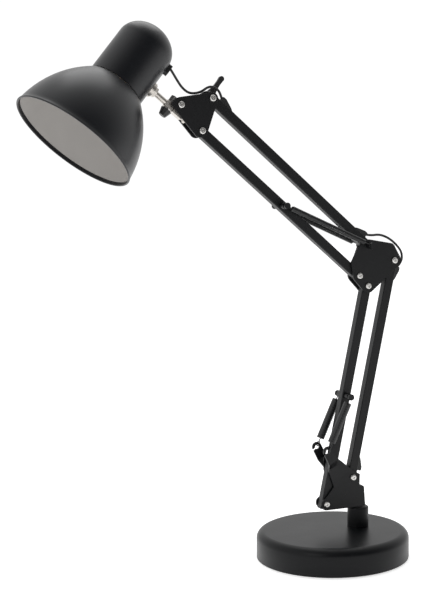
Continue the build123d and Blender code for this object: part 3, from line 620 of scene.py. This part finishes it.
# ---------------------------------------------------------------- springs
@dataclass
class SpringPair:
    """Two close-wound tension springs, one each side of the arm, from a pin to an anchor."""

    dresser: Dresser
    name: str
    pin: Vector
    anchor: Vector
    pin_lift: float
    anchor_lift: float
    coil_gaps: tuple
    side: float = 17 * MM
    coil: float = 2.75 * MM
    wire: float = 0.72 * MM
    pitch: float = 1.62 * MM
    loop: float = 3.2 * MM
    turned_loop: bool = False

    def one(self, surface: Surface, y: float) -> None:
        """Add one spring: a helix, a straight end and a loop at each end.

        The helix is start + run s + coil (cos a across + sin a beside), with a turning once each pitch.
        """
        along = self.anchor - self.pin
        length = along.length
        run = np.array(along.normalized())
        beside = np.array((0.0, 1.0, 0.0))
        across = np.cross(beside, run)
        start = np.array(self.pin) + beside * y
        coil_from, coil_to = self.coil_gaps[0], length - self.coil_gaps[1]
        turns = (coil_to - coil_from) / self.pitch
        place = np.linspace(0, 1, int(turns * 12) + 1)
        angle = place * turns * 2 * math.pi
        swell = np.clip(np.minimum(place, 1 - place) * turns * 1.5, 0.15, 1)[:, None] * self.coil
        helix = start + (coil_from + place * (coil_to - coil_from))[:, None] * run
        helix = helix + swell * (np.cos(angle)[:, None] * across + np.sin(angle)[:, None] * beside)
        surface.grid(capped(tube(helix, self.wire, run, 6), helix), close_v=True)
        loops = (
            (self.pin_lift, coil_from, 1.0, across),
            (length - self.anchor_lift, coil_to, -1.0, beside if self.turned_loop else across),
        )
        for centre, coil_end, toward, wide in loops:
            turn = np.linspace(0, 2 * math.pi, 29)[:, None]
            ring = start + run * centre + self.loop * (np.cos(turn) * run * toward + np.sin(turn) * wide)
            surface.grid(capped(tube(ring, self.wire, np.cross(run, wide), 6), ring), close_v=True)
            ends = centre + toward * self.loop, coil_end + toward * self.wire
            straight = start + np.linspace(*ends, 4)[:, None] * run
            surface.grid(capped(tube(straight, self.wire, beside, 6), straight), close_v=True)

    def build(self, node: str, fixed_body: str, moving_body: str) -> bpy.types.Object:
        """Make both springs as one piece, baked where they stand.

        Args:
            node: The CAD node they stand for.
            fixed_body: The body of the anchor; not used.
            moving_body: The body of the pin; not used.

        Returns:
            The piece.
        """
        surface = Surface()
        self.one(surface, self.side)
        self.one(surface, -self.side)
        piece = self.dresser.dress(surface.mesh(self.name, 60), Finish.WIRE)
        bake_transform(piece)
        log.info("%s: %d faces", piece.name, len(piece.data.polygons))
        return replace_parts(piece, node)


@dataclass
class Sleeves:
    """Vinyl sleeves over the lower springs: soft ended tubes whose wall shows the coil faintly."""

    dresser: Dresser
    pin: Vector
    anchor: Vector
    side: float = 17 * MM
    radius: float = 5.2 * MM
    bore: float = 3.8 * MM
    head_gap: float = 8 * MM
    foot_gap: float = 12 * MM
    ripple: float = 0.09 * MM
    pitch: float = 3.2 * MM

    def profile(self, length: float) -> np.ndarray:
        """Outside with a ripple of cos(2 pi h / pitch), rounded lips, and the plain bore."""
        height = np.linspace(1 * MM, length - 1 * MM, 120)
        skin = self.radius - self.ripple + self.ripple * np.cos(2 * math.pi * height / self.pitch)
        return np.concatenate([
            [(self.bore, 0.3 * MM), (self.radius - 0.5 * MM, 0.0)],
            np.stack([skin, height], -1),
            [(self.radius - 0.5 * MM, length), (self.bore, length - 0.3 * MM)],
        ])

    def build(self) -> bpy.types.Object:
        """Make both sleeves as one piece, baked where they stand."""
        along = self.anchor - self.pin
        length = along.length - self.head_gap - self.foot_gap
        surface = Surface()
        for y in (self.side, -self.side):
            start = self.pin + along.normalized() * self.head_gap + Vector((0, y, 0))
            grid = Spindle(start, along).turned(self.profile(length), 28)
            surface.grid(grid, close_u=True, close_v=True)
        piece = self.dresser.dress(surface.mesh("lower_spring_sleeves", 50), Finish.VINYL)
        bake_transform(piece)
        log.info("%s: %d faces", piece.name, len(piece.data.polygons))
        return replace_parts(piece, "lower_sleeves")


# ---------------------------------------------------------------- lead
@dataclass
class Lead:
    """The round lead, held by the lamp all the way: smooth lines through its route's points."""

    dresser: Dresser
    radius: float = 1.5 * MM

    def stretch(self, name: str, route: list[tuple], node: str) -> bpy.types.Object:
        """One stretch as a mesh round a NURBS line with the route as its control points.

        Args:
            name: The piece's name.
            route: Points (x, z) in the plane of the arms.
            node: The CAD node it stands for.

        Returns:
            The piece, dressed.
        """
        curve = bpy.data.curves.new(name + "_line", "CURVE")
        curve.dimensions = "3D"
        curve.resolution_u = 10
        curve.bevel_depth = self.radius
        curve.bevel_resolution = 4
        curve.use_fill_caps = True
        line = curve.splines.new("NURBS")
        line.points.add(len(route) - 1)
        line.points.foreach_set("co", np.array([(x, 0.0, z, 1.0) for x, z in route]).ravel())
        line.order_u = 3
        line.use_endpoint_u = True
        holder = bpy.data.objects.new(name + "_line", curve)
        data = bpy.data.meshes.new_from_object(holder)
        data.name = name
        bpy.data.objects.remove(holder)
        piece = bpy.data.objects.new(name, data)
        bpy.context.scene.collection.objects.link(piece)
        clean(piece, 60)
        self.dresser.dress(piece, Finish.SHEATH)
        log.info("%s: %d faces", name, len(data.polygons))
        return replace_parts(piece, node)

    def bending(self, name: str, route: list[tuple], node: str) -> None:
        """A stretch across the joint between the bodies at its first and last point, baked where it stands."""
        piece = self.stretch(name, route, node)
        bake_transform(piece)

    def build(self) -> None:
        """Make every stretch that crosses a joint; the rigid runs in the tubes stay the CAD's own."""
        rear, upper = Link("lower_arm", "elbow_level"), Link("upper_arm", "head_level")
        loop = [(0.067, 0.420), (0.0805, 0.4153), (0.0925, 0.406), (0.0996, 0.3971), (0.1005, 0.3892)]
        loop_middle = share(loop[1], loop[2], 0.5)
        elbow_split, elbow_bend = upper.mouth(9.4 * MM, 1)
        top_split, top_bend = rear.mouth(rear.length - 7 * MM, -1)
        head_split, head_bend = upper.mouth(upper.length - 10 * MM, -1)
        droop = [(-0.200, 0.598), (-0.1918, 0.5892), (-0.1815, 0.588), (-0.1725, 0.5909),
                 (-0.1639, 0.597), (-0.1562, 0.5967), head_bend]
        turn_end, fold_start = share(droop[0], droop[1], 0.3), share(droop[2], droop[3], 0.6)
        cap_in, cap_out = clamp_point(-61 * MM, 31 * MM), clamp_point(-41 * MM, 28.4 * MM)
        self.bending("lead_elbow_over", [elbow_split, elbow_bend, *loop[:2], loop_middle],
                     "lead_elbow_upper")
        self.bending("lead_elbow_down", [loop_middle, *loop[2:], top_bend, top_split],
                     "lead_elbow_lower")
        self.bending("lead_cap_out", [cap_in, cap_out, droop[0], turn_end],
                     "lead_head_swivel")
        self.bending("lead_droop", [turn_end, droop[1], droop[2], fold_start],
                     "lead_head_tilt")
        self.bending("lead_over_tube", [fold_start, *droop[3:], head_split],
                     "lead_head_fold")


def share(first: tuple, second: tuple, part: float) -> tuple:
    """Point a part of the way from one (x, z) to another."""
    return tuple(a + (b - a) * part for a, b in zip(first, second))


def clamp_point(reach: float, rise: float) -> tuple:
    """Point (x, z) from distances along the stem and square to it, from the tilt pivot."""
    stem, tilt = Vector(joint("head_swivel")["axis"]).normalized(), pivot("head_tilt")
    return (tilt.x + stem.x * reach - stem.z * rise, tilt.z + stem.z * reach + stem.x * rise)


@dataclass(frozen=True)
class Link:
    """A tube between two pivots, which says where a lead guide's mouth lies on it."""

    first: str
    last: str
    passage: float = 17 * MM
    mouth_out: float = 10.4 * MM

    @property
    def length(self) -> float:
        """Distance between the pivots."""
        return (pivot(self.last) - pivot(self.first)).length

    def mouth(self, place: float, inward: int) -> tuple[tuple, tuple]:
        """Two points straight out of a guide's mouth, at a place along the tube.

        Args:
            place: Distance along the tube of the mouth.
            inward: 1 where the passage runs on from the mouth, -1 where it runs back.

        Returns:
            The point 2 mm out, where the stretches meet, and the one 8 mm out, where the lead bends.
        """
        start, end = pivot(self.first), pivot(self.last)
        step = (end - start).normalized()
        out = Vector((step.z, 0, -step.x))
        inner = start + step * (place + inward * self.passage)
        outer = start + step * place + out * self.mouth_out
        run = (outer - inner).normalized()
        split, bend = outer + run * 2 * MM, outer + run * 8 * MM
        return (split.x, split.z), (bend.x, bend.z)


# ---------------------------------------------------------------- pressed and moulded parts
@dataclass
class Eased:
    """Copies of flat cut CAD pieces whose sharp edges are eased with a small round."""

    dresser: Dresser
    segments: int = 2

    def ease(self, node: str, body: str, finish: Finish, width: float) -> bpy.types.Object:
        """Copy a node, merge it, join its flat triangles and round its sharp edges.

        Args:
            node: The CAD node.
            body: The body that it rides on.
            finish: What it is dressed in.
            width: The round's width.

        Returns:
            The piece.
        """
        data = frame["nodes"][node].data.copy()
        data.name = node + "_eased"
        piece = bpy.data.objects.new(node + "_eased", data)
        bpy.context.scene.collection.objects.link(piece)
        work = bmesh.new()
        work.from_mesh(data)
        bmesh.ops.remove_doubles(work, verts=work.verts, dist=0.005 * MM)
        bmesh.ops.dissolve_limit(work, angle_limit=math.radians(1), verts=work.verts, edges=work.edges)
        work.to_mesh(data)
        work.free()
        data.shade_smooth()
        data.set_sharp_from_angle(angle=math.radians(32))
        bevel = piece.modifiers.new("ease", "BEVEL")
        bevel.width = width
        bevel.segments = self.segments
        bevel.limit_method = "ANGLE"
        bevel.angle_limit = math.radians(32)
        bevel.harden_normals = True
        self.dresser.dress(piece, finish)
        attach(piece, body)
        log.info("%s: %d faces", piece.name, len(data.polygons))
        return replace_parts(piece, node)

    def build(self) -> None:
        """Ease every plate and moulding that shows a cut edge."""
        plates = (
            ("bracket_plate_far", "bracket"),
            ("bracket_plate_near", "bracket"),
            ("elbow_plate_far", "elbow"),
            ("elbow_plate_near", "elbow"),
            ("head_plate_far", "head_bracket"),
            ("head_plate_near", "head_bracket"),
            ("bracket_block", "bracket"),
        )
        for node, body in plates:
            self.ease(node, body, Finish.ARM, 0.35 * MM)
        self.ease("friction_wing", "friction_wing", Finish.PLASTIC, 0.8 * MM)
        self.ease("clamp_block", "clamp", Finish.NICKEL, 0.5 * MM)
        self.ease("clamp_knob", "clamp_knob", Finish.PLASTIC, 0.5 * MM)


# ---------------------------------------------------------------- studio
@dataclass
class Studio:
    """Pale floor, a soft white surround that is dimmer behind the camera, and two large soft lights."""

    surround: float = 1.3
    camera_side: float = 0.065

    def floor(self) -> None:
        """Wide pale floor under the base."""
        edge = 12.0
        corners = np.array([[(-edge, -edge, 0), (edge, -edge, 0)], [(-edge, edge, 0), (edge, edge, 0)]])
        plane = Surface().grid(corners.transpose(1, 0, 2)).mesh("studio_floor")
        plane.data.materials.append(self.floor_paint())
        plane.location.z = -0.05 * MM

    def floor_paint(self) -> bpy.types.Material:
        """Matt near white."""
        recipe = Recipe("studio_floor_paint")
        recipe.base(
            Base_Color=(0.93, 0.93, 0.93, 1.0),
            Roughness=0.9,
            Specular_IOR_Level=0.1,
            Emission_Color=(1.0, 1.0, 1.0, 1.0),
            Emission_Strength=0.55,
        )
        return recipe.material

    def sky(self) -> None:
        """White surround whose strength falls from +Y to -Y by a smooth step of the direction's y."""
        world = bpy.data.worlds.new("studio_surround")
        world.use_nodes = True
        tree = world.node_tree
        tree.nodes.clear()
        where = tree.nodes.new("ShaderNodeTexCoord")
        split = tree.nodes.new("ShaderNodeSeparateXYZ")
        spread = tree.nodes.new("ShaderNodeMapRange")
        spread.interpolation_type = "SMOOTHSTEP"
        spread.inputs["From Min"].default_value = -0.95
        spread.inputs["From Max"].default_value = 0.25
        spread.inputs["To Min"].default_value = self.camera_side
        spread.inputs["To Max"].default_value = self.surround
        ground = tree.nodes.new("ShaderNodeBackground")
        output = tree.nodes.new("ShaderNodeOutputWorld")
        tree.links.new(where.outputs["Generated"], split.inputs[0])
        tree.links.new(split.outputs["Y"], spread.inputs["Value"])
        tree.links.new(spread.outputs[0], ground.inputs["Strength"])
        tree.links.new(ground.outputs[0], output.inputs["Surface"])
        bpy.context.scene.world = world

    def lamp(self, name: str, place: tuple, target: tuple, size: float, power: float) -> None:
        """Square soft light at a place, turned to a target."""
        data = bpy.data.lights.new(name, "AREA")
        data.size = size
        data.energy = power
        light = bpy.data.objects.new(name, data)
        light.location = place
        light.rotation_euler = (Vector(target) - Vector(place)).to_track_quat("-Z", "Y").to_euler()
        bpy.context.scene.collection.objects.link(light)

    def build(self) -> None:
        """Set up floor, surround and lights."""
        self.floor()
        self.sky()
        self.lamp("key_box", (-1.9, -1.3, 1.15), (-0.2, 0, 0.5), 0.9, 7)
        self.lamp("top_box", (0.2, 0.7, 2.1), (0, 0, 0.2), 1.4, 11)
        bpy.context.scene.view_settings.view_transform = "Standard"


@dataclass
class Camera:
    """Long lens looking a little down and to the right, with a shifted frame."""

    place: tuple = (-0.6492, -1.3611, 0.4537)
    yaw: float = math.radians(25.47)
    pitch: float = math.radians(-7.75)
    lens: float = 70.8
    shift: tuple = (-0.2010, 0.1143)

    def build(self) -> None:
        """Make it the scene's camera."""
        data = bpy.data.cameras.new("view_camera")
        data.lens = self.lens
        data.sensor_width = 36
        data.shift_x, data.shift_y = self.shift
        data.clip_start, data.clip_end = 0.05, 60
        camera = bpy.data.objects.new("view_camera", data)
        camera.location = self.place
        ahead = Vector((
            math.sin(self.yaw) * math.cos(self.pitch),
            math.cos(self.yaw) * math.cos(self.pitch),
            math.sin(self.pitch),
        ))
        camera.rotation_euler = ahead.to_track_quat("-Z", "Y").to_euler()
        bpy.context.scene.collection.objects.link(camera)
        bpy.context.scene.camera = camera


def dress_rest(dresser: Dresser) -> None:
    """Dress every CAD node with the finish of its slot in the record."""
    finishes = {finish.value.name: finish for finish in Finish}
    for entry in frame["record"]["subparts"]:
        dresser.dress(frame["nodes"][entry["node"]], finishes[entry["material_slot"]])


def main() -> None:
    """Build the lamp's pieces in order, then the studio and the camera."""
    logging.basicConfig(level=logging.INFO, format="%(message)s")
    dresser = Dresser()
    dress_rest(dresser)
    Base(dresser).build()
    Head(dresser).build()
    Eased(dresser).build()
    lower_pin, upper_pin = middle("lower_spring_pin"), middle("upper_spring_pin")
    elbow_pin = middle("elbow_spring_pin")
    hook = Vector((-15 * MM, 0, 144 * MM))
    slack = 0.35 * MM
    SpringPair(dresser, "lower_spring_wires", lower_pin, hook, slack, 4.75 * MM, (7.5 * MM, 13 * MM),
               turned_loop=True).build("lower_springs", "bracket", "lower_front")
    SpringPair(dresser, "upper_spring_wires", upper_pin, elbow_pin, slack, slack,
               (7.5 * MM, 11 * MM)).build("upper_springs", "elbow", "upper_lower")
    Sleeves(dresser, lower_pin, hook).build()
    Lead(dresser).build()
    Studio().build()
    Camera().build()


if __name__ == "__main__":
    main()
